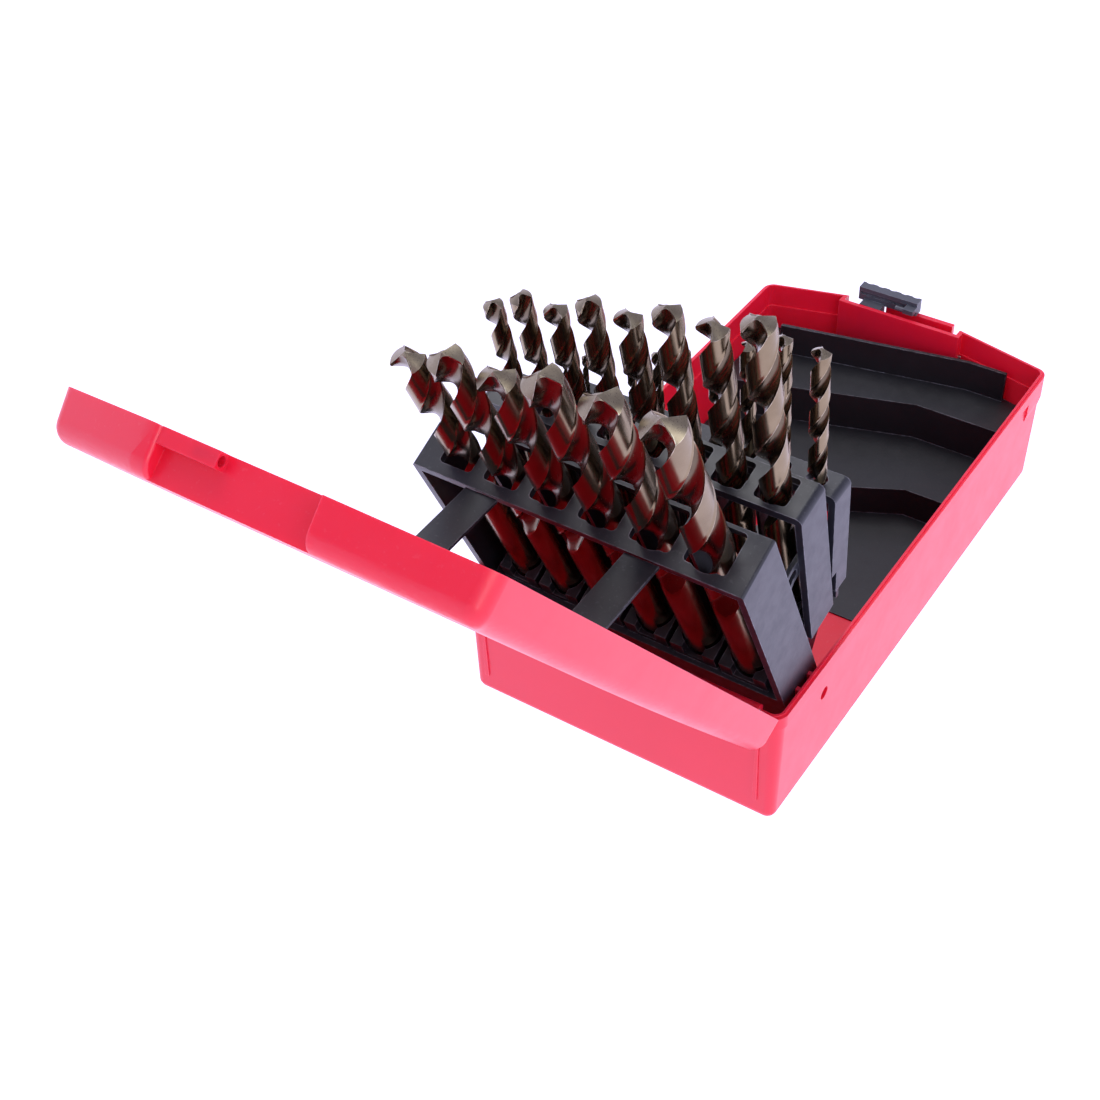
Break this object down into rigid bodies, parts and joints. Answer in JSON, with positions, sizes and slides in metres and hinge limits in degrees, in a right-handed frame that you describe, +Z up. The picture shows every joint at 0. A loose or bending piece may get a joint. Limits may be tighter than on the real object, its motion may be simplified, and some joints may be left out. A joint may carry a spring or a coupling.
{
  "type": "drill bit case",
  "caption": "Hinged plastic case for twist drill bits: the lid lifts three pivoting trays that fan the bits out, with a sliding latch at the front.",
  "frame": {"origin": "middle of the flat bottom of the tub, on the surface that it rests on", "axes": "+X along the lid hinge, +Y from the hinge to the latch, +Z up"},
  "size_m": [0.122, 0.38, 0.226],
  "materials": {
    "red_shell": "moulded red ABS, satin gloss",
    "black_plastic": "fine-grained black moulding",
    "grey_latch": "dark grey moulding",
    "bronze_steel": "ground tool steel with a bronze oxide",
    "steel_rod": "drawn steel"
  },
  "bodies": {
    "case_base": {"tub": "red_shell", "hinge_rod": "steel_rod", "latch_rod": "steel_rod", "bit_rest": "black_plastic"},
    "lid_body": {"lid": "red_shell", "strap_pin_left": "steel_rod", "strap_pin_right": "steel_rod"},
    "slider_body": {"latch_slider": "grey_latch"},
    "large_tray_body": {"large_tray": "black_plastic"},
    "medium_tray_body": {"medium_tray": "black_plastic", "tray_link_12_left": "black_plastic", "tray_link_12_right": "black_plastic"},
    "small_tray_body": {"small_tray": "black_plastic", "tray_link_23_left": "black_plastic", "tray_link_23_right": "black_plastic"},
    "strap_left_body": {"lid_strap_left": "black_plastic"},
    "strap_right_body": {"lid_strap_right": "black_plastic"},
    "bit_10_5_body": {"bit_10_5": "bronze_steel"},
    "bit_11_0_body": {"bit_11_0": "bronze_steel"},
    "bit_11_5_body": {"bit_11_5": "bronze_steel"},
    "bit_12_0_body": {"bit_12_0": "bronze_steel"},
    "bit_12_5_body": {"bit_12_5": "bronze_steel"},
    "bit_13_0_body": {"bit_13_0": "bronze_steel"},
    "bit_06_5_body": {"bit_06_5": "bronze_steel"},
    "bit_07_0_body": {"bit_07_0": "bronze_steel"},
    "bit_07_5_body": {"bit_07_5": "bronze_steel"},
    "bit_08_0_body": {"bit_08_0": "bronze_steel"},
    "bit_08_5_body": {"bit_08_5": "bronze_steel"},
    "bit_09_0_body": {"bit_09_0": "bronze_steel"},
    "bit_09_5_body": {"bit_09_5": "bronze_steel"},
    "bit_10_0_body": {"bit_10_0": "bronze_steel"},
    "bit_01_0_body": {"bit_01_0": "bronze_steel"},
    "bit_01_5_body": {"bit_01_5": "bronze_steel"},
    "bit_02_0_body": {"bit_02_0": "bronze_steel"},
    "bit_02_5_body": {"bit_02_5": "bronze_steel"},
    "bit_03_0_body": {"bit_03_0": "bronze_steel"},
    "bit_03_5_body": {"bit_03_5": "bronze_steel"},
    "bit_04_0_body": {"bit_04_0": "bronze_steel"},
    "bit_04_5_body": {"bit_04_5": "bronze_steel"},
    "bit_05_0_body": {"bit_05_0": "bronze_steel"},
    "bit_05_5_body": {"bit_05_5": "bronze_steel"},
    "bit_06_0_body": {"bit_06_0": "bronze_steel"}
  },
  "joints": [
    {"name": "lid_hinge", "type": "hinge", "parent": "case_base", "child": "lid_body", "pos_m": [0, -0.1081, 0.05115], "axis": [1, 0, 0], "range_deg": [-129.2, 0]},
    {"name": "latch_slide", "type": "slide", "parent": "case_base", "child": "slider_body", "axis": [-1, 0, 0], "range_m": [0, 0.006]},
    {"name": "large_tray_hinge", "type": "hinge", "parent": "case_base", "child": "large_tray_body", "pos_m": [0, -0.0754, 0.0345], "axis": [1, 0, 0], "range_deg": [-114.65, 0.05]},
    {"name": "medium_tray_hinge", "type": "hinge", "parent": "case_base", "child": "medium_tray_body", "pos_m": [0, -0.0788, 0.034], "axis": [1, 0, 0], "range_deg": [-104.45, 0.05]},
    {"name": "small_tray_hinge", "type": "hinge", "parent": "case_base", "child": "small_tray_body", "pos_m": [0, -0.0817, 0.0298], "axis": [1, 0, 0], "range_deg": [-95.45, 0.05]},
    {"name": "strap_left_hinge", "type": "hinge", "parent": "lid_body", "child": "strap_left_body", "pos_m": [0, -0.17151, 0.11751], "axis": [1, 0, 0], "range_deg": [-0.05, 116.49]},
    {"name": "strap_right_hinge", "type": "hinge", "parent": "lid_body", "child": "strap_right_body", "pos_m": [0, -0.17151, 0.11751], "axis": [1, 0, 0], "range_deg": [-0.05, 116.49]},
    {"name": "bit_10_5_pull", "type": "slide", "parent": "large_tray_body", "child": "bit_10_5_body", "axis": [0, -0.4163, 0.9092], "range_m": [0, 0.0819]},
    {"name": "bit_11_0_pull", "type": "slide", "parent": "large_tray_body", "child": "bit_11_0_body", "axis": [0, -0.4163, 0.9092], "range_m": [0, 0.0819]},
    {"name": "bit_11_5_pull", "type": "slide", "parent": "large_tray_body", "child": "bit_11_5_body", "axis": [0, -0.4163, 0.9092], "range_m": [0, 0.0819]},
    {"name": "bit_12_0_pull", "type": "slide", "parent": "large_tray_body", "child": "bit_12_0_body", "axis": [0, -0.4163, 0.9092], "range_m": [0, 0.0819]},
    {"name": "bit_12_5_pull", "type": "slide", "parent": "large_tray_body", "child": "bit_12_5_body", "axis": [0, -0.4163, 0.9092], "range_m": [0, 0.0819]},
    {"name": "bit_13_0_pull", "type": "slide", "parent": "large_tray_body", "child": "bit_13_0_body", "axis": [0, -0.4163, 0.9092], "range_m": [0, 0.0819]},
    {"name": "bit_06_5_pull", "type": "slide", "parent": "medium_tray_body", "child": "bit_06_5_body", "axis": [0, -0.2487, 0.9686], "range_m": [0, 0.0637]},
    {"name": "bit_07_0_pull", "type": "slide", "parent": "medium_tray_body", "child": "bit_07_0_body", "axis": [0, -0.2487, 0.9686], "range_m": [0, 0.0637]},
    {"name": "bit_07_5_pull", "type": "slide", "parent": "medium_tray_body", "child": "bit_07_5_body", "axis": [0, -0.2487, 0.9686], "range_m": [0, 0.0637]},
    {"name": "bit_08_0_pull", "type": "slide", "parent": "medium_tray_body", "child": "bit_08_0_body", "axis": [0, -0.2487, 0.9686], "range_m": [0, 0.0637]},
    {"name": "bit_08_5_pull", "type": "slide", "parent": "medium_tray_body", "child": "bit_08_5_body", "axis": [0, -0.2487, 0.9686], "range_m": [0, 0.0637]},
    {"name": "bit_09_0_pull", "type": "slide", "parent": "medium_tray_body", "child": "bit_09_0_body", "axis": [0, -0.2487, 0.9686], "range_m": [0, 0.0637]},
    {"name": "bit_09_5_pull", "type": "slide", "parent": "medium_tray_body", "child": "bit_09_5_body", "axis": [0, -0.2487, 0.9686], "range_m": [0, 0.0637]},
    {"name": "bit_10_0_pull", "type": "slide", "parent": "medium_tray_body", "child": "bit_10_0_body", "axis": [0, -0.2487, 0.9686], "range_m": [0, 0.0637]},
    {"name": "bit_01_0_pull", "type": "slide", "parent": "small_tray_body", "child": "bit_01_0_body", "axis": [0, -0.0941, 0.9956], "range_m": [0, 0.02678]},
    {"name": "bit_01_5_pull", "type": "slide", "parent": "small_tray_body", "child": "bit_01_5_body", "axis": [0, -0.0941, 0.9956], "range_m": [0, 0.0308]},
    {"name": "bit_02_0_pull", "type": "slide", "parent": "small_tray_body", "child": "bit_02_0_body", "axis": [0, -0.0941, 0.9956], "range_m": [0, 0.03683]},
    {"name": "bit_02_5_pull", "type": "slide", "parent": "small_tray_body", "child": "bit_02_5_body", "axis": [0, -0.0941, 0.9956], "range_m": [0, 0.04219]},
    {"name": "bit_03_0_pull", "type": "slide", "parent": "small_tray_body", "child": "bit_03_0_body", "axis": [0, -0.0941, 0.9956], "range_m": [0, 0.04487]},
    {"name": "bit_03_5_pull", "type": "slide", "parent": "small_tray_body", "child": "bit_03_5_body", "axis": [0, -0.0941, 0.9956], "range_m": [0, 0.0459]},
    {"name": "bit_04_0_pull", "type": "slide", "parent": "small_tray_body", "child": "bit_04_0_body", "axis": [0, -0.0941, 0.9956], "range_m": [0, 0.0459]},
    {"name": "bit_04_5_pull", "type": "slide", "parent": "small_tray_body", "child": "bit_04_5_body", "axis": [0, -0.0941, 0.9956], "range_m": [0, 0.0459]},
    {"name": "bit_05_0_pull", "type": "slide", "parent": "small_tray_body", "child": "bit_05_0_body", "axis": [0, -0.0941, 0.9956], "range_m": [0, 0.0459]},
    {"name": "bit_05_5_pull", "type": "slide", "parent": "small_tray_body", "child": "bit_05_5_body", "axis": [0, -0.0941, 0.9956], "range_m": [0, 0.0459]},
    {"name": "bit_06_0_pull", "type": "slide", "parent": "small_tray_body", "child": "bit_06_0_body", "axis": [0, -0.0941, 0.9956], "range_m": [0, 0.0459]}
  ],
  "couplings": [
    {"joint": "large_tray_hinge", "follows": "lid_hinge", "ratio": 0.887},
    {"joint": "medium_tray_hinge", "follows": "lid_hinge", "ratio": 0.80805},
    {"joint": "small_tray_hinge", "follows": "lid_hinge", "ratio": 0.73839},
    {"joint": "strap_left_hinge", "follows": "lid_hinge", "ratio": -0.90124},
    {"joint": "strap_right_hinge", "follows": "lid_hinge", "ratio": -0.90124}
  ]
}
